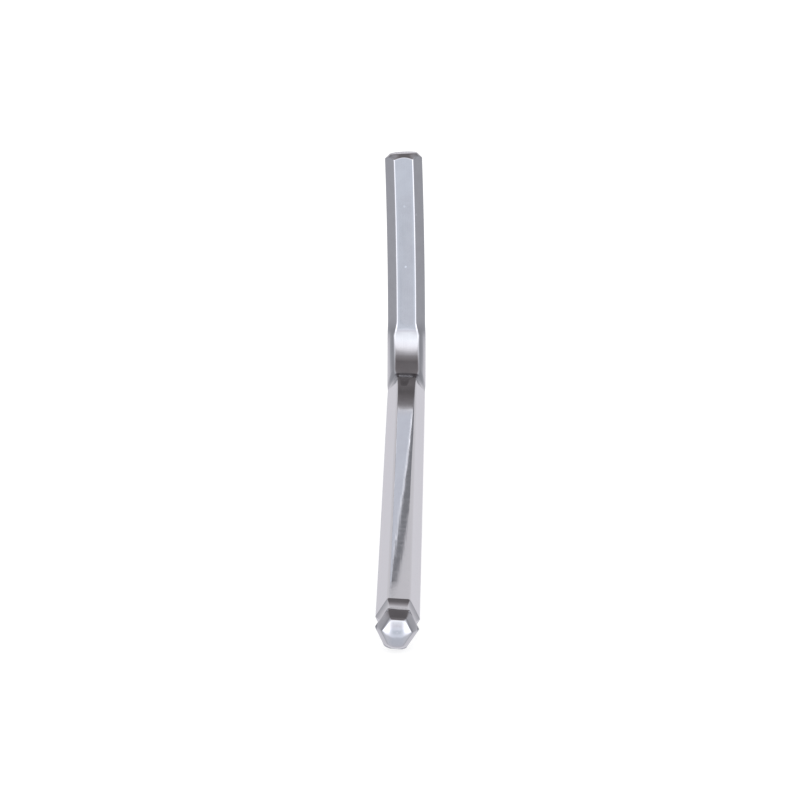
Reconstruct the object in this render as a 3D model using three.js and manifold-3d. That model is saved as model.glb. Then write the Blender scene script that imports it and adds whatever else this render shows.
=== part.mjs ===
// A long-pattern ball-end hex key: one piece of cold-bent hexagonal bar.
// The long arm lies along Y with its ball end towards -Y, and the short arm stands up along +Z.
// The origin is the middle of the footprint, on the plane that the long arm rests on.
import * as THREE from 'three';
import * as BufferGeometryUtils from 'three/addons/utils/BufferGeometryUtils.js';
import Module from 'manifold-3d';

const wasm = await Module();
wasm.setup();

// Driving dimensions, in millimetres.
const ACROSS_FLATS = 3;
const LONG_ARM = 126;            // back of the short arm to the tip of the ball
const SHORT_ARM = 22.8;          // underside of the long arm to the chamfered end
const INNER_BEND_RADIUS = 3.6;
const CORNER_ROUNDING = 0.08 * ACROSS_FLATS;

// Chamfered end of the short arm, a 45 degree cone around its axis.
const END_FACE_RADIUS = 0.42 * ACROSS_FLATS;

// Ball end, with each distance along the arm counted back from the tip.
const SHOULDER = 2.12 * ACROSS_FLATS;        // where the six grooves start
const GROOVE_RUN = 0.75 * ACROSS_FLATS;      // from the shoulder down to the neck
const NECK_ACROSS_FLATS = 0.8 * ACROSS_FLATS;
const EQUATOR = 0.65 * ACROSS_FLATS;         // where the ball is widest
const BALL_ACROSS_FLATS = 0.98 * ACROSS_FLATS;
const FACET_SLOPE = 0.28;                    // fall of a front facet from the equator to the tip
const NOSE_RADIUS = 0.6 * ACROSS_FLATS;
const TAPER_START = 0.2 * ACROSS_FLATS;      // where the spherical nose passes into the turned taper
const TAPER_SLOPE = 0.2;

// Fineness of the round stretches.
const BEND_STEPS = 12;
const CORNER_STEPS = 2;
const ARC_STEPS = 7;
const TURNED_SIDES = 36;
const CLEARANCE = ACROSS_FLATS;              // how far a cutter runs past the bar

const HALF_FLATS = ACROSS_FLATS / 2;
const BEND_RADIUS = INNER_BEND_RADIUS + HALF_FLATS;
const SHORT_AXIS = SHORT_ARM - HALF_FLATS;   // elbow to the end of the short arm
const LONG_AXIS = LONG_ARM - HALF_FLATS;     // elbow to the tip of the long arm

function toSolid(geometry) {
  geometry.deleteAttribute('normal');
  geometry.deleteAttribute('uv');
  const merged = BufferGeometryUtils.mergeVertices(geometry);
  const vertProperties = new Float32Array(merged.attributes.position.array);
  const triVerts = new Uint32Array(merged.index.array);
  return new wasm.Manifold(new wasm.Mesh({ numProp: 3, vertProperties, triVerts }));
}

function toGeometry(solid) {
  const mesh = solid.getMesh();
  const geometry = new THREE.BufferGeometry();
  geometry.setAttribute('position', new THREE.BufferAttribute(mesh.vertProperties, 3));
  geometry.setIndex(new THREE.BufferAttribute(mesh.triVerts, 1));
  geometry.computeVertexNormals();
  return geometry;
}

// Centre line of the bent bar, with the elbow of the two axes at the origin.
// Its first and last steps are the straight arms and the steps between them share the bend.
class CentreLine extends THREE.Curve {
  static steps = BEND_STEPS + 2;

  getUtoTmapping(u) {
    return u;
  }

  bendAngle(t) {
    const step = t * CentreLine.steps - 1;
    return THREE.MathUtils.clamp(step / BEND_STEPS, 0, 1) * Math.PI / 2;
  }

  getPoint(t) {
    const step = t * CentreLine.steps;
    const angle = this.bendAngle(t);
    const point = new THREE.Vector3(0, Math.cos(angle) - 1, 1 - Math.sin(angle));
    point.multiplyScalar(BEND_RADIUS);
    point.z += Math.max(0, 1 - step) * (SHORT_AXIS - BEND_RADIUS);
    point.y -= Math.max(0, step - CentreLine.steps + 1) * (LONG_AXIS - BEND_RADIUS);
    return point;
  }

  getTangent(t) {
    const angle = this.bendAngle(t);
    return new THREE.Vector3(0, -Math.sin(angle), -Math.cos(angle));
  }
}

// Hexagon with rounded corners. Its Y axis, through two of the corners, follows the X axis of the key.
function barSection() {
  const section = new THREE.Shape();
  const cornerCentre = (HALF_FLATS - CORNER_ROUNDING) / Math.cos(Math.PI / 6);
  for (let corner = 0; corner < 6; corner += 1) {
    const angle = (corner + 0.5) * Math.PI / 3;
    const x = cornerCentre * Math.cos(angle);
    const y = cornerCentre * Math.sin(angle);
    section.absarc(x, y, CORNER_ROUNDING, angle - Math.PI / 6, angle + Math.PI / 6);
  }
  return section;
}

function bentBar() {
  const options = { steps: CentreLine.steps, extrudePath: new CentreLine(), curveSegments: CORNER_STEPS };
  return toSolid(new THREE.ExtrudeGeometry(barSection(), options));
}

// Ring around the Z axis that leaves the 45 degree chamfer on the end of the short arm.
function chamferCutter() {
  const outer = HALF_FLATS + CLEARANCE;
  const profile = [
    new THREE.Vector2(END_FACE_RADIUS, SHORT_AXIS),
    new THREE.Vector2(outer, SHORT_AXIS + END_FACE_RADIUS - outer),
    new THREE.Vector2(outer, SHORT_AXIS + CLEARANCE),
    new THREE.Vector2(END_FACE_RADIUS, SHORT_AXIS + CLEARANCE),
    new THREE.Vector2(END_FACE_RADIUS, SHORT_AXIS),
  ];
  const ring = new THREE.LatheGeometry(profile, TURNED_SIDES);
  ring.rotateX(Math.PI / 2);
  return toSolid(ring);
}

// Side view of what is milled off one flat: X is the distance back from the tip, Y the height.
function millingOutline() {
  const neck = NECK_ACROSS_FLATS / 2;
  const drop = HALF_FLATS - neck;
  const grooveRadius = (GROOVE_RUN ** 2 + drop ** 2) / (2 * drop);
  const grooveBottom = SHOULDER - GROOVE_RUN;
  const grooveTop = neck + grooveRadius;
  const above = HALF_FLATS + CLEARANCE;
  const ballHeight = BALL_ACROSS_FLATS / 2;
  const grooveStart = -Math.acos((grooveRadius - drop - CORNER_ROUNDING) / grooveRadius);
  const outline = new THREE.Shape();
  outline.moveTo(-CLEARANCE, above);
  outline.lineTo(-CLEARANCE, ballHeight - FACET_SLOPE * (EQUATOR + CLEARANCE));
  outline.lineTo(EQUATOR, ballHeight);
  outline.lineTo(grooveBottom, neck);
  outline.absarc(grooveBottom, grooveTop, grooveRadius, -Math.PI / 2, -Math.PI / 2 - grooveStart);
  outline.lineTo(SHOULDER + CLEARANCE, above);
  return outline;
}

// One flat's share of the groove and the ball, turned around the long arm's axis.
function facetCutter(turn) {
  const options = { depth: 2 * CLEARANCE, bevelEnabled: false, curveSegments: ARC_STEPS };
  const cutter = new THREE.ExtrudeGeometry(millingOutline(), options);
  cutter.translate(0, 0, -CLEARANCE);
  cutter.rotateX(Math.PI / 2);
  cutter.rotateZ(Math.PI / 2);
  cutter.rotateY(turn);
  cutter.translate(0, -LONG_AXIS, 0);
  return toSolid(cutter);
}

// Cup around the long arm's axis that leaves the spherical nose and the turned taper behind it.
function noseCutter() {
  const outer = ACROSS_FLATS;
  const noseEnd = Math.acos(1 - TAPER_START / NOSE_RADIUS);
  const nose = new THREE.EllipseCurve(0, NOSE_RADIUS, NOSE_RADIUS, NOSE_RADIUS,
    noseEnd - Math.PI / 2, -Math.PI / 2, true);
  const surface = nose.getPoints(ARC_STEPS);
  const taper = (outer - surface[0].x) / TAPER_SLOPE;
  surface[ARC_STEPS].x = 0;
  const profile = [
    new THREE.Vector2(0, -CLEARANCE),
    new THREE.Vector2(outer, -CLEARANCE),
    new THREE.Vector2(outer, surface[0].y + taper),
    ...surface,
  ];
  const cup = new THREE.LatheGeometry(profile, TURNED_SIDES);
  cup.translate(0, -LONG_AXIS, 0);
  return toSolid(cup);
}

function keyGeometry() {
  let key = bentBar();
  key = key.subtract(chamferCutter());
  for (let flat = 0; flat < 6; flat += 1) {
    key = key.subtract(facetCutter(flat * Math.PI / 3));
  }
  key = key.subtract(noseCutter());
  return toGeometry(key);
}

function platedSteel() {
  return new THREE.MeshStandardMaterial({ color: 0xc3c6cd, roughness: 0.25, metalness: 1 });
}

const hexKey = new THREE.Mesh(keyGeometry(), platedSteel());
hexKey.name = 'hex_key';
hexKey.position.set(0, LONG_ARM / 2 - HALF_FLATS, HALF_FLATS);

const object = new THREE.Group();
object.add(hexKey);

export default object;
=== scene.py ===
# Looks of a long-pattern ball-end hex key in bright plated steel, on a pale studio floor.
# The key lies along Y with its ball end towards -Y and its short arm standing up along +Z.
import math

import bmesh
import bpy
from mathutils import Matrix, Vector, noise

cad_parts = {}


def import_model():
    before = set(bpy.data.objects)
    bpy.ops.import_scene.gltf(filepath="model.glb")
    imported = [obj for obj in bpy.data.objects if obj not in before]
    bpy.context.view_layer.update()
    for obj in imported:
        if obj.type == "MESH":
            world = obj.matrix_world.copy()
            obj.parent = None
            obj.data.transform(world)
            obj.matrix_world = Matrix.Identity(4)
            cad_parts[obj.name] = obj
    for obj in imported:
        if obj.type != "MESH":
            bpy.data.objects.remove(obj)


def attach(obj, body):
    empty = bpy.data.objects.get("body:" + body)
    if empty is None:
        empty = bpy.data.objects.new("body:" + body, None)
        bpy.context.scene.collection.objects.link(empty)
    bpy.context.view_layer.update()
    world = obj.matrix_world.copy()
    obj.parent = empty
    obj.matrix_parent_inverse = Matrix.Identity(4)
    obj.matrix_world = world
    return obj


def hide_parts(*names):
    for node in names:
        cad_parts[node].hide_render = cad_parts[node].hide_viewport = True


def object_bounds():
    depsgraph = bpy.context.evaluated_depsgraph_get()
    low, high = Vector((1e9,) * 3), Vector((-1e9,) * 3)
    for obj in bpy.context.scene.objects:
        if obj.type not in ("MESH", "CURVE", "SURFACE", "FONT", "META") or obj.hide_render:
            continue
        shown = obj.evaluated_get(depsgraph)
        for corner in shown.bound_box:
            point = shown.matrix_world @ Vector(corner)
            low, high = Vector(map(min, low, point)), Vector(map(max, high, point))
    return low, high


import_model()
cad_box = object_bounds()

# Driving dimensions. Lengths of the key are in units of its distance across flats, and its place
# along the bar, s, runs from 0 at the end of the short arm to TIP at the tip of the ball.
FLATS = 0.003                    # metres across flats
HALF = 0.5
SHORT_ARM = (cad_box[1].z - cad_box[0].z) / FLATS
LONG_ARM = (cad_box[1].y - cad_box[0].y) / FLATS
SHORT_AXIS = SHORT_ARM - HALF    # elbow of the two axes to the end of the short arm
LONG_AXIS = LONG_ARM - HALF      # elbow to the tip of the ball
ELBOW = Vector((0, cad_box[1].y - HALF * FLATS, cad_box[0].z + HALF * FLATS))
BEND_RADIUS = 1.7
CORNER_ROUNDING = 0.08
TO_CORNER = math.pi / 6          # from the middle of a flat to a corner
SECTOR = math.pi / 3             # from one flat to the next

# Chamfered end
END_RADIUS = 0.42
CHAMFER_SLOPE = 1.0
END_TILT = 0.05                  # rise of the end face towards +X
END_TILT_REACH = 0.3             # from the end until the sections lie square to the bar
EDGE_ROUNDING = 0.012            # between the flats and the turned surfaces

# Ball end, counted back from the tip
SHOULDER = 2.12
NECK = 0.4                       # half across the flats
GROOVE_RUN = 0.75                # from the shoulder down to the neck
EQUATOR = 0.65                   # where the ball is widest
BALL_HALF = 0.492                # half across the flats of the ball there
BALL_CORNER_ROUNDING = 0.02
BALL_CORNER_BLEND = 0.01         # between the facets and the rounded corners
BALL_TWIST = math.radians(1.2)
FACET_SLOPE = 0.23               # of a front facet at the equator
FACET_RADIUS = 6
EQUATOR_ROUNDING = 0.02
FACET_OFFSETS = (0, 0, -0.012, 0.05, 0.006, 0)    # clockwise from the top, seen from the tip
NOSE_RADIUS = 0.6
NOSE_BLEND = 0.03                # between the nose and the taper
NOSE_ROUNDING = 0.05             # between the facets and the turned surfaces
RING_DEPTH = 0.0004              # of the marks that turning left on the nose
RING_SPACING = 0.13
TAPER_RADIUS = 0.53              # of the turned taper behind the nose, at the equator
TAPER = 0.228
TURNED_DROP = 0.015              # the turned axis runs this far below the axis of the facets

# How far this key is from true
SHORT_BOW = -0.0916
LONG_BOW = -0.0165
LONG_LIFT = 0.075
TWIST_AT_BEND = math.radians(2.1)
TWIST_AT_TIP = math.radians(3.5)
TWIST_START = 0.5                # from the end of the bend until the first twist is complete
WOBBLES = ((0.0022, 0.45, 3.7), (0.0012, 1.3, 9.1))    # angle, waves per unit and seed of each
WOBBLE_START = 3

# Inner side of the bend, from the short arm down: how long each stretch is and how far it leans
# forward at its end. It starts with a crease, where the bending tool bore, and ends in a fillet.
CREASE_ABOVE_BEND = 0.12
INNER_STRETCHES = ((0.13, 26), (0.72, 35), (0.33, 45), (0.40, 50), (0.11, 90))
INNER_STEP = 0.005
INNER_START = 0.05               # height over the centre line where the push inward begins
INNER_CROWN = 0.03               # how far the spread flat falls from its middle to its corners
HALF_FLAT_WIDTH = 0.289
BULGE = 0.31                     # how much wider the inner flat gets in the bend
BULGE_START = -0.1               # height over the centre line where the widening begins
BULGE_BEFORE_CREASE, BULGE_AFTER_CREASE = 0.15, 0.3    # where the widening grows
BULGE_BEFORE_FOLD, BULGE_AFTER_FOLD = 0.45, 0.15       # where it shrinks again

# How many steps the mesh has around a flat, around a corner and along each part of the bar
ON_FLAT, ON_CORNER = 12, 6
ON_SHORT_ARM, ON_BEND, ON_LONG_ARM, ON_BALL, ON_TIP = 40, 90, 180, 120, 20
TIP_LENGTH = 0.12

# Plating. Scales are per metre and depths in metres.
TURN_LENGTH = 3.4                # once around the bar, in the map's units across flats
MOTTLING_SCALE = 900
MOTTLING_RANGE = (0.3, 0.7)
GRAIN_SCALE = 7000
GRAIN_DEPTH = 5e-7
RIPPLE_SCALE = 260
RIPPLE_DEPTH = 1.5e-6
DRAWING_STRETCH = (26, 0.35, 1)
DRAWING_RANGE = (0.35, 0.65)
DRAWING_DEPTH = 6e-7
DRAWING_SHARE = 0.6
SPECK_SCALE = 1100
SPECK_SIZE = 0.16
SPECK_CORE = 0.4                 # share of a speck that is at full strength
SPECK_CHOICE = (0.72, 0.9)
SPECK_ROUGHNESS = 0.2
WEAR_WIDTH = 0.03
WEAR_BREAKUP = 0.12
WEAR_SHARE = 0.5
WEAR_ROUGHNESS = 0.06
SMOOTHEST, ROUGHEST = 0.025, 0.075
# Painted shade: a dark band across the fold where the bend's inner flat meets the long arm, standing
# in for shade in the fold and covering a thin reflected light line there.
FOLD_REACH = 0.13
FOLD_CORE = 0.5                  # share of the painted shade that is at full strength
FOLD_SHADE_EDGE = (0.36, 0.28)
PLATING_DARK = (0.575, 0.573, 0.58)
PLATING_LIGHT = (0.625, 0.627, 0.63)
PLATING_STREAK = (0.615, 0.615, 0.615)
SPECK_COLOUR = (0.78, 0.79, 0.8)
WORN_COLOUR = (0.66, 0.655, 0.65)
# Colour of the painted shade in the bend's fold
FOLD_SHADE_COLOUR = (0.27, 0.265, 0.275)

# Light of the studio around the key, by the angle in degrees from the front over the top to the
# back. Each entry is the angle and the brightness there, and TINTS gives the colour.
MIDDLE = ((-90, .73), (-50, .73), (-36, .77), (-28, 1.05), (-20, 1.05), (-9, .9), (0, .92),
          (10, 1.1), (24, 1.0), (35, 1.1), (43, 1.25), (47, 1.4), (52, 1.55), (57, 1.45), (60, 1.1),
          (63, .6), (68, .34), (80, .18), (100, .24), (118, .18), (138, .15), (148, .17), (154, .32),
          (159, .48), (164, .65), (190, .69), (240, .7), (270, .73))
SIDE = ((-90, .7), (-35, .8), (-20, 1.5), (-5, 2.0), (45, 2.0), (62, 1.3), (80, .7), (110, .5),
        (150, .36), (172, .40), (197, .5), (240, .6), (270, .7))
TINTS = ((-90, (.97, .99, 1.12)), (0, (.94, 1, 1.14)), (25, (1, 1, 1.12)), (50, (.97, 1, 1.08)),
         (75, (1.08, 1, 1.06)), (150, (1.07, 1, 1.07)), (170, (1.02, 1, 1.07)), (270, (1, 1, 1.12)))
SIDE_TINT = (1, 1.01, 1.11)
SIDE_START, SIDE_FULL = 0.3, 0.75    # share of the direction that points sideways
RAMP_SHARE = 0.5                     # of a value that a ramp holds, since a ramp stops at 1
TENT_RADIUS = 4
TENT_FINENESS = 5
FLOOR_HALF = 6.0
FLOOR_COLOUR = (0.35, 0.35, 0.35, 1)
FLOOR_GLOW = 0.75
SKY_STRENGTH = 1.15
WHITE = (1, 1, 1, 1)

# Camera, placed from the elbow in units across flats
CAMERA_PLACE = Vector((1.2954, -232.916, 35.9656))
CAMERA_PITCH = math.radians(8.8936)
CAMERA_YAW = math.radians(0.3683)
CAMERA_ROLL = math.radians(-0.0624)
CAMERA_LENS = 347.805            # millimetres, as is the sensor
CAMERA_SENSOR = 36
CLIP_START, CLIP_END = 0.05, 50  # metres

STRAIGHT_SHORT = SHORT_AXIS - BEND_RADIUS
BEND_LENGTH = BEND_RADIUS * math.pi / 2
BEND_END = STRAIGHT_SHORT + BEND_LENGTH
STRAIGHT_LONG = LONG_AXIS - BEND_RADIUS
TIP = BEND_END + STRAIGHT_LONG


def clamp(value, low=0.0, high=1.0):
    return max(low, min(high, value))


def smoothstep(low, high, value):
    """0 at low and 1 at high, which may be the smaller of the two."""
    t = clamp((value - low) / (high - low))
    return t * t * (3 - 2 * t)


def smooth_min(a, b, width):
    """The smaller of two values, with the change from one to the other rounded over a width."""
    h = clamp(0.5 + 0.5 * (b - a) / width)
    return b + (a - b) * h - width * h * (1 - h)


def bend_angle(s):
    return clamp((s - STRAIGHT_SHORT) / BEND_LENGTH) * math.pi / 2


def centre_line(s):
    """Point, direction and inward normal of the centre line at s."""
    angle = bend_angle(s)
    point = BEND_RADIUS * Vector((0, math.cos(angle) - 1, 1 - math.sin(angle)))
    tangent = Vector((0, -math.sin(angle), -math.cos(angle)))
    inward = Vector((0, -math.cos(angle), math.sin(angle)))
    above = max(0, STRAIGHT_SHORT - s)
    beyond = max(0, s - BEND_END)
    point += Vector((0, -beyond, above))
    point.x += SHORT_BOW * (above / STRAIGHT_SHORT) ** 2
    along = beyond / STRAIGHT_LONG
    point += Vector((LONG_BOW, 0, LONG_LIFT)) * along ** 2
    return point, tangent, inward


def twist(s):
    """Turn of the section around the centre line."""
    turn = TWIST_AT_BEND * smoothstep(STRAIGHT_SHORT, BEND_END + TWIST_START, s)
    turn += BALL_TWIST * smoothstep(SHOULDER, EQUATOR, TIP - s)
    along = clamp((s - BEND_END) / STRAIGHT_LONG)
    wobble = sum(angle * noise.noise((s * rate, seed, 0)) for angle, rate, seed in WOBBLES)
    wobble *= smoothstep(BEND_END, BEND_END + WOBBLE_START, s)
    return turn + (TWIST_AT_TIP - TWIST_AT_BEND) * along + wobble


def apothem(s):
    """Half the distance across flats."""
    back = TIP - s
    if back > SHOULDER:
        return HALF
    if back > SHOULDER - GROOVE_RUN:
        return NECK + (HALF - NECK) * (1 - (SHOULDER - back) / GROOVE_RUN) ** 2
    ahead = EQUATOR - back
    front = BALL_HALF - FACET_SLOPE * ahead - ahead ** 2 / (2 * FACET_RADIUS)
    rear = BALL_HALF + (BALL_HALF - NECK) * ahead / (SHOULDER - GROOVE_RUN - EQUATOR)
    return smooth_min(front, rear, EQUATOR_ROUNDING)


def nose_radius(back):
    depth = clamp(back, 0, NOSE_RADIUS)
    return math.sqrt(max(0, NOSE_RADIUS ** 2 - (NOSE_RADIUS - depth) ** 2))


def turned_radius(s):
    """Radius of the round stock: the end's cone, the bar's corners, or the ball's taper and nose."""
    back = TIP - s
    if back >= SHOULDER:
        return END_RADIUS + CHAMFER_SLOPE * s
    if back < EQUATOR:
        taper = TAPER_RADIUS + TAPER * (back - EQUATOR)
    else:
        taper = HALF / math.cos(TO_CORNER)
    nose = nose_radius(back)
    if 0 < back < NOSE_RADIUS:
        ring = RING_DEPTH * math.cos(2 * math.pi * nose / RING_SPACING)
        nose = nose_radius(back - ring)
    return smooth_min(taper, nose, NOSE_BLEND) if back > NOSE_BLEND else nose


def hexagon_radius(angle, flat, rounding):
    """From the axis to a hexagon with rounded corners. Angle 0 points at the middle of a flat."""
    off = abs((angle + TO_CORNER) % SECTOR - TO_CORNER)
    if math.tan(off) * flat < (flat - rounding) * math.tan(TO_CORNER):
        return flat / math.cos(off)
    to_corner = TO_CORNER - off
    corner = (flat - rounding) / math.cos(TO_CORNER)
    sideways = corner * math.sin(to_corner)
    return corner * math.cos(to_corner) + math.sqrt(max(0, rounding ** 2 - sideways ** 2))


def ball_radius(s, angle):
    """From the axis to the ball's six facets, which don't all lie at the same distance."""
    flat = apothem(s)
    share = smoothstep(SHOULDER, EQUATOR, TIP - s)
    facets = [(flat + share * offset) / max(0.2, math.cos(angle - side * SECTOR))
              for side, offset in enumerate(FACET_OFFSETS)]
    corner = (flat - BALL_CORNER_ROUNDING) / math.cos(TO_CORNER) + BALL_CORNER_ROUNDING
    return smooth_min(min(facets), corner, BALL_CORNER_BLEND)


def section_angles():
    edge = math.atan((HALF - CORNER_ROUNDING) * math.tan(TO_CORNER) / HALF)
    gap = SECTOR - 2 * edge
    angles = []
    for sector in range(6):
        middle = sector * SECTOR
        angles += [middle - edge + 2 * edge * i / ON_FLAT for i in range(ON_FLAT)]
        angles += [middle + edge + gap * i / ON_CORNER for i in range(ON_CORNER)]
    return angles


def stations():
    """Places along the bar that have a section, close together where the shape changes fast."""
    places = [0.0, 0.004, 0.012] + [0.02 + 0.01 * i for i in range(16)]
    chamfer_end, margin = 0.19, 0.05
    short = STRAIGHT_SHORT - 0.2
    places += [chamfer_end + short * i / ON_SHORT_ARM for i in range(1, ON_SHORT_ARM)]
    bend = BEND_LENGTH + 2 * margin
    places += [STRAIGHT_SHORT - margin + bend * i / ON_BEND for i in range(ON_BEND + 1)]
    start, end = BEND_END + 0.06, TIP - SHOULDER - 0.02
    places += [start + (end - start) * i / ON_LONG_ARM for i in range(1, ON_LONG_ARM)]
    ball = TIP - TIP_LENGTH - end
    places += [end + ball * i / ON_BALL for i in range(ON_BALL + 1)]
    places += [TIP - TIP_LENGTH * (1 - i / ON_TIP) ** 2 for i in range(1, ON_TIP)]
    return places


def from_round_bend(y, z):
    """Place along the bar of a point of the inner side, and how far inside a round bend it lies."""
    angle = math.atan2(BEND_RADIUS - z, BEND_RADIUS + y)
    radius = math.hypot(BEND_RADIUS - z, BEND_RADIUS + y)
    return STRAIGHT_SHORT + BEND_LENGTH * angle / (math.pi / 2), BEND_RADIUS - HALF - radius


def inner_line():
    """The inner side of the bend as (s, how far it stands in from a round bend), and the s at which
    it meets the long arm."""
    leans = [0.0]
    for length, end in INNER_STRETCHES:
        start, count = leans[-1], round(length / INNER_STEP)
        leans += [start + (math.radians(end) - start) * (i + 1) / count for i in range(count)]
    y, z = -HALF, BEND_RADIUS + CREASE_ABOVE_BEND
    line = []
    for lean in leans:
        y -= INNER_STEP * math.sin(lean)
        z -= INNER_STEP * math.cos(lean)
        if z > BEND_RADIUS:
            line.append((STRAIGHT_SHORT - (z - BEND_RADIUS), -HALF - y))
        else:
            line.append(from_round_bend(y, z))
    drop = z - HALF
    crease, fold = line[0][0], line[-1][0]
    line = [(s, push + drop * smoothstep(crease, fold, s)) for s, push in line]
    while y > -BEND_RADIUS:
        y -= INNER_STEP
        line.append(from_round_bend(y, HALF))
    return line, fold


INNER_LINE, INNER_FOLD = inner_line()
CREASE = INNER_LINE[0][0]


def inner_push(s):
    """How far the inner side of the bend stands in from a round bend."""
    if not CREASE < s < INNER_LINE[-1][0]:
        return 0
    for (s0, push0), (s1, push1) in zip(INNER_LINE, INNER_LINE[1:]):
        if s0 <= s <= s1:
            return push0 + (push1 - push0) * (s - s0) / max(s1 - s0, 1e-9)
    return 0


def section_point(s, angle):
    """A point of the section at s, across (x) and inward (y) from the centre line."""
    back = TIP - s
    turned = turned_radius(s)
    if back < SHOULDER:
        radius = ball_radius(s, angle)
        turned -= min(TURNED_DROP, turned) * math.cos(angle)
    else:
        radius = hexagon_radius(angle, apothem(s), CORNER_ROUNDING)
    edge = NOSE_ROUNDING if back < EQUATOR else EDGE_ROUNDING
    radius = smooth_min(radius, turned, max(min(edge, turned), 1e-6))
    across, inward = radius * math.sin(angle), radius * math.cos(angle)
    bulge = smoothstep(CREASE - BULGE_BEFORE_CREASE, CREASE + BULGE_AFTER_CREASE, s)
    bulge *= smoothstep(INNER_FOLD + BULGE_AFTER_FOLD, INNER_FOLD - BULGE_BEFORE_FOLD, s)
    crown = INNER_CROWN * (across / HALF_FLAT_WIDTH) ** 2 * bulge
    inward += (inner_push(s) - crown) * smoothstep(INNER_START, HALF, inward)
    across *= 1 + BULGE * bulge * smoothstep(BULGE_START, HALF, inward)
    return across, inward


def section(s, angles):
    """The corners of the section at s, in metres."""
    point, tangent, inward = centre_line(s)
    side = Vector((1, 0, 0))
    turn = twist(s)
    corners = []
    for angle in angles:
        across, up = section_point(s, angle)
        x = across * math.cos(turn) + up * math.sin(turn)
        y = up * math.cos(turn) - across * math.sin(turn)
        tilt = END_TILT * x * (1 - smoothstep(0.0, END_TILT_REACH, s))
        corners.append(ELBOW + FLATS * (point + side * x + inward * y - tangent * tilt))
    return corners


def key_mesh():
    """The whole key as one skin of quads with a fan at each end. Its map goes around the bar in u
    and along it in v."""
    angles, places = section_angles(), stations()
    count = len(angles)
    verts = [corner for s in places for corner in section(s, angles)]
    end_point, tip_point = len(verts), len(verts) + 1
    verts += [ELBOW + FLATS * centre_line(s)[0] for s in (0, TIP)]

    turns = [angle / (2 * math.pi) for angle in angles]
    around = [turn * TURN_LENGTH for turn in turns + [1 + turns[0]]]
    last = len(places) - 1
    faces, uvs = [], []
    for ring in range(last):
        a, b = ring * count, (ring + 1) * count
        for i in range(count):
            j = (i + 1) % count
            faces.append((a + i, a + j, b + j, b + i))
            uvs += [(around[i], places[ring]), (around[i + 1], places[ring])]
            uvs += [(around[i + 1], places[ring + 1]), (around[i], places[ring + 1])]
    for i in range(count):
        j = (i + 1) % count
        faces.append((end_point, j, i))
        uvs += [(0.5, 0), (around[i + 1], places[0]), (around[i], places[0])]
        faces.append((tip_point, last * count + i, last * count + j))
        uvs += [(0.5, TIP), (around[i], places[last]), (around[i + 1], places[last])]

    mesh = bpy.data.meshes.new("key_bar")
    mesh.from_pydata(verts, [], faces)
    layer = mesh.uv_layers.new(name="bar")
    for corner, uv in zip(layer.data, uvs):
        corner.uv = uv
    for polygon in mesh.polygons:
        polygon.use_smooth = True
    mesh.validate()
    mesh.update()
    return mesh


def new_object(name, mesh, material):
    made = bpy.data.objects.new(name, mesh)
    bpy.context.scene.collection.objects.link(made)
    mesh.materials.append(material)
    return made


def new_node(nodes, kind, **settings):
    """A new shader node with its sockets set by name."""
    made = nodes.new("ShaderNode" + kind)
    for name, value in settings.items():
        made.inputs[name.replace("_", " ")].default_value = value
    return made


def math_node(nodes, links, operation, *values):
    """Result of one operation. Each value is a number or another node's output."""
    made = nodes.new("ShaderNodeMath")
    made.operation = operation
    for socket, value in zip(made.inputs, values):
        if isinstance(value, (int, float)):
            socket.default_value = value
        else:
            links.new(value, socket)
    return made.outputs[0]


def colour_mix(nodes, links, factor, first, second, blend="MIX"):
    """Blend of two colours. Each colour is a tuple or another node's output."""
    made = nodes.new("ShaderNodeMix")
    made.data_type = "RGBA"
    made.blend_type = blend
    if isinstance(factor, (int, float)):
        made.inputs["Factor"].default_value = factor
    else:
        links.new(factor, made.inputs["Factor"])
    # Inputs 6 and 7 and output 2 are the ones that carry colours.
    for socket, value in ((made.inputs[6], first), (made.inputs[7], second)):
        if isinstance(value, tuple):
            socket.default_value = (*value, 1)
        else:
            links.new(value, socket)
    return made.outputs[2]


def remap(nodes, links, value, low, high, start=0.0, end=1.0):
    """Smooth step of a value from low..high to start..end."""
    made = new_node(nodes, "MapRange", From_Min=low, From_Max=high, To_Min=start, To_Max=end)
    made.interpolation_type = "SMOOTHSTEP"
    links.new(value, made.inputs["Value"])
    return made.outputs["Result"]


def noise_texture(nodes, links, place, scale, detail, roughness):
    made = new_node(nodes, "TexNoise", Scale=scale, Detail=detail, Roughness=roughness)
    links.new(place, made.inputs["Vector"])
    return made.outputs["Fac"]


def light_specks(nodes, links, place):
    """1 inside a speck. Only some of the cells have one."""
    cells = new_node(nodes, "TexVoronoi", Scale=SPECK_SCALE, Randomness=1.0)
    links.new(place, cells.inputs["Vector"])
    spot = remap(nodes, links, cells.outputs["Distance"], SPECK_SIZE, SPECK_SIZE * SPECK_CORE)
    parts = nodes.new("ShaderNodeSeparateColor")
    links.new(cells.outputs["Color"], parts.inputs[0])
    chosen = remap(nodes, links, parts.outputs[0], *SPECK_CHOICE)
    return math_node(nodes, links, "MULTIPLY", spot, chosen)


def corner_wear(nodes, links, u, grain, on_bar):
    """1 on the worn corners of the hexagon, with a ragged edge."""
    sixths = math_node(nodes, links, "MULTIPLY", u, 6 / TURN_LENGTH)
    # 0 on a corner and 0.5 in the middle of a flat
    off_corner = math_node(nodes, links, "PINGPONG", math_node(nodes, links, "ADD", sixths, 0.5), 0.5)
    ragged = math_node(nodes, links, "MULTIPLY", grain, WEAR_BREAKUP)
    ragged = math_node(nodes, links, "SUBTRACT", off_corner, ragged)
    wear = remap(nodes, links, ragged, WEAR_WIDTH, -WEAR_WIDTH)
    return math_node(nodes, links, "MULTIPLY", wear, on_bar)


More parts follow.
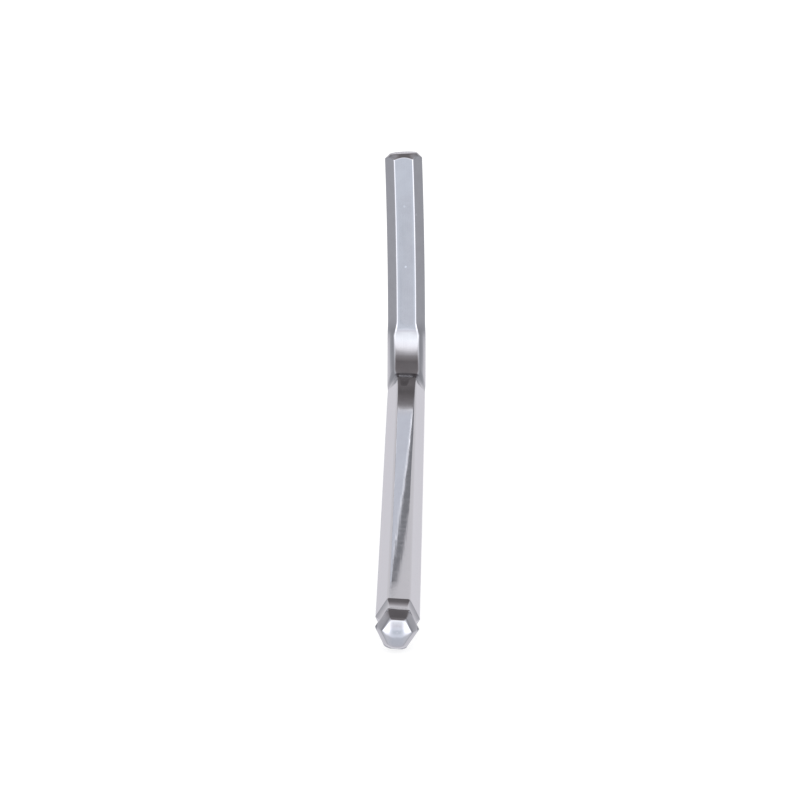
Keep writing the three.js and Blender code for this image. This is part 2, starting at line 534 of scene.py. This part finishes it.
def fold_painted_shade(nodes, links, u, v):
    """1 in the fold where the bend's inner flat meets the long arm, where shade is painted."""
    middle = INNER_FOLD - FOLD_REACH / 2
    from_fold = math_node(nodes, links, "ABSOLUTE", math_node(nodes, links, "SUBTRACT", v, middle))
    from_inner = math_node(nodes, links, "PINGPONG", u, TURN_LENGTH / 2)
    near_fold = remap(nodes, links, from_fold, FOLD_REACH, FOLD_REACH * FOLD_CORE)
    on_inner = remap(nodes, links, from_inner, *FOLD_SHADE_EDGE)
    return math_node(nodes, links, "MULTIPLY", near_fold, on_inner)


def steel():
    """Bright plating: faint mottling, drawing lines along the bar, specks and worn corners, and
    painted shade in the bend's fold.
    """
    material = bpy.data.materials.new("plated_steel")
    material.use_nodes = True
    nodes = material.node_tree.nodes
    links = material.node_tree.links
    shader = nodes["Principled BSDF"]
    shader.inputs["Metallic"].default_value = 1

    place = nodes.new("ShaderNodeTexCoord").outputs["Object"]
    bar_map = nodes.new("ShaderNodeUVMap")
    bar_map.uv_map = "bar"
    split = nodes.new("ShaderNodeSeparateXYZ")
    links.new(bar_map.outputs[0], split.inputs[0])
    u, v = split.outputs[0], split.outputs[1]
    on_bar = remap(nodes, links, v, TIP - EQUATOR, TIP - SHOULDER)

    mottling = noise_texture(nodes, links, place, MOTTLING_SCALE, detail=4.0, roughness=0.6)
    grain = noise_texture(nodes, links, place, GRAIN_SCALE, detail=2.0, roughness=0.5)
    ripple = noise_texture(nodes, links, place, RIPPLE_SCALE, detail=1.0, roughness=0.5)
    stretch = new_node(nodes, "Mapping", Scale=DRAWING_STRETCH)
    links.new(bar_map.outputs[0], stretch.inputs["Vector"])
    drawing = noise_texture(nodes, links, stretch.outputs[0], 1.0, detail=3.0, roughness=0.6)
    drawing = math_node(nodes, links, "MULTIPLY", drawing, on_bar)
    speck = light_specks(nodes, links, place)
    wear = corner_wear(nodes, links, u, grain, on_bar)

    mottled = remap(nodes, links, mottling, *MOTTLING_RANGE)
    streaked = remap(nodes, links, drawing, *DRAWING_RANGE, 0.0, DRAWING_SHARE)
    worn = math_node(nodes, links, "MULTIPLY", wear, WEAR_SHARE)
    colour = colour_mix(nodes, links, mottled, PLATING_DARK, PLATING_LIGHT)
    colour = colour_mix(nodes, links, streaked, colour, PLATING_STREAK)
    colour = colour_mix(nodes, links, speck, colour, SPECK_COLOUR)
    colour = colour_mix(nodes, links, worn, colour, WORN_COLOUR)
    # Painted shade: a dark band across the fold of the bend.
    colour = colour_mix(nodes, links, fold_painted_shade(nodes, links, u, v), colour, FOLD_SHADE_COLOUR)
    links.new(colour, shader.inputs["Base Color"])

    rough = remap(nodes, links, mottling, *MOTTLING_RANGE, SMOOTHEST, ROUGHEST)
    for mask, share in ((speck, SPECK_ROUGHNESS), (wear, WEAR_ROUGHNESS)):
        added = math_node(nodes, links, "MULTIPLY", mask, share)
        rough = math_node(nodes, links, "ADD", rough, added)
    links.new(rough, shader.inputs["Roughness"])

    normal = None
    for height, depth in ((ripple, RIPPLE_DEPTH), (drawing, DRAWING_DEPTH), (grain, GRAIN_DEPTH)):
        bump = new_node(nodes, "Bump", Strength=1.0, Distance=depth)
        links.new(height, bump.inputs["Height"])
        if normal:
            links.new(normal, bump.inputs["Normal"])
        normal = bump.outputs["Normal"]
    links.new(normal, shader.inputs["Normal"])
    return material


def ramp(nodes, links, angle, entries):
    """Colours over the angle, which runs from 0 to 1 for -90 to 270 degrees."""
    made = nodes.new("ShaderNodeValToRGB")
    elements = made.color_ramp.elements
    while len(elements) < len(entries):
        elements.new(1)
    # Positions come first, because a new position can change the order of the elements.
    for element, (degrees, _) in zip(elements, entries):
        element.position = (degrees + 90) / 360
    for element, (_, value) in zip(elements, entries):
        colour = value if isinstance(value, tuple) else (value, value, value)
        element.color = (*[part * RAMP_SHARE for part in colour], 1)
    links.new(angle, made.inputs[0])
    return made.outputs["Color"]


def tent_material():
    material = bpy.data.materials.new("light_tent")
    material.use_nodes = True
    nodes = material.node_tree.nodes
    links = material.node_tree.links
    nodes.clear()
    unit = nodes.new("ShaderNodeVectorMath")
    unit.operation = "NORMALIZE"
    links.new(nodes.new("ShaderNodeTexCoord").outputs["Object"], unit.inputs[0])
    split = nodes.new("ShaderNodeSeparateXYZ")
    links.new(unit.outputs[0], split.inputs[0])
    x, y, z = split.outputs

    # The angle jumps from 1 to 0 straight down, and is 0.5 straight up.
    from_up = math_node(nodes, links, "DIVIDE", math_node(nodes, links, "ARCTAN2", y, z), 2 * math.pi)
    angle = math_node(nodes, links, "ADD", from_up, 0.5)
    sideways = math_node(nodes, links, "ABSOLUTE", x)
    sideways = remap(nodes, links, sideways, SIDE_START, SIDE_FULL)
    brightness = colour_mix(nodes, links, sideways, ramp(nodes, links, angle, MIDDLE),
                            ramp(nodes, links, angle, SIDE))
    side_tint = tuple(part * RAMP_SHARE for part in SIDE_TINT)
    tint = colour_mix(nodes, links, sideways, ramp(nodes, links, angle, TINTS), side_tint)
    colour = colour_mix(nodes, links, 1, brightness, tint, "MULTIPLY")

    light = new_node(nodes, "Emission", Strength=1 / RAMP_SHARE ** 2)
    links.new(colour, light.inputs["Color"])
    output = nodes.new("ShaderNodeOutputMaterial")
    links.new(light.outputs[0], output.inputs["Surface"])
    return material


def light_tent():
    """A far sphere of studio light that only reflections see."""
    mesh = bpy.data.meshes.new("light_tent")
    bm = bmesh.new()
    bmesh.ops.create_icosphere(bm, subdivisions=TENT_FINENESS, radius=TENT_RADIUS)
    bm.to_mesh(mesh)
    bm.free()
    for polygon in mesh.polygons:
        polygon.use_smooth = True
    tent = new_object("light_tent", mesh, tent_material())
    tent.visible_camera = False
    tent.visible_diffuse = False
    tent.visible_shadow = False
    tent.visible_transmission = False
    tent.visible_volume_scatter = False


def floor():
    """A grey floor that glows, so it looks white and the key's shadow on it stays faint."""
    material = bpy.data.materials.new("floor")
    material.use_nodes = True
    shader = material.node_tree.nodes["Principled BSDF"]
    shader.inputs["Base Color"].default_value = FLOOR_COLOUR
    shader.inputs["Emission Color"].default_value = WHITE
    shader.inputs["Emission Strength"].default_value = FLOOR_GLOW
    shader.inputs["Roughness"].default_value = 1
    shader.inputs["Specular IOR Level"].default_value = 0
    r = FLOOR_HALF
    mesh = bpy.data.meshes.new("floor")
    mesh.from_pydata([(-r, -r, 0), (r, -r, 0), (r, r, 0), (-r, r, 0)], [], [(0, 1, 2, 3)])
    plane = new_object("floor", mesh, material)
    plane.visible_glossy = False


def camera():
    data = bpy.data.cameras.new("camera")
    data.sensor_width = CAMERA_SENSOR
    data.lens = CAMERA_LENS
    data.clip_start = CLIP_START
    data.clip_end = CLIP_END
    made = bpy.data.objects.new("camera", data)
    bpy.context.scene.collection.objects.link(made)
    made.location = ELBOW + FLATS * CAMERA_PLACE
    yaw = Matrix.Rotation(CAMERA_YAW, 3, "Z")
    pitch = Matrix.Rotation(math.pi / 2 - CAMERA_PITCH, 3, "X")
    roll = Matrix.Rotation(CAMERA_ROLL, 3, "Z")
    made.rotation_euler = (yaw @ pitch @ roll).to_euler()
    bpy.context.scene.camera = made


def world():
    sky = bpy.data.worlds.new("studio")
    sky.use_nodes = True
    background = sky.node_tree.nodes["Background"]
    background.inputs["Color"].default_value = WHITE
    background.inputs["Strength"].default_value = SKY_STRENGTH
    bpy.context.scene.world = sky


camera()
world()
floor()
light_tent()
bpy.context.scene.view_settings.view_transform = "Standard"

key = new_object("key_bar", key_mesh(), steel())
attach(key, "root")
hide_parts("hex_key")
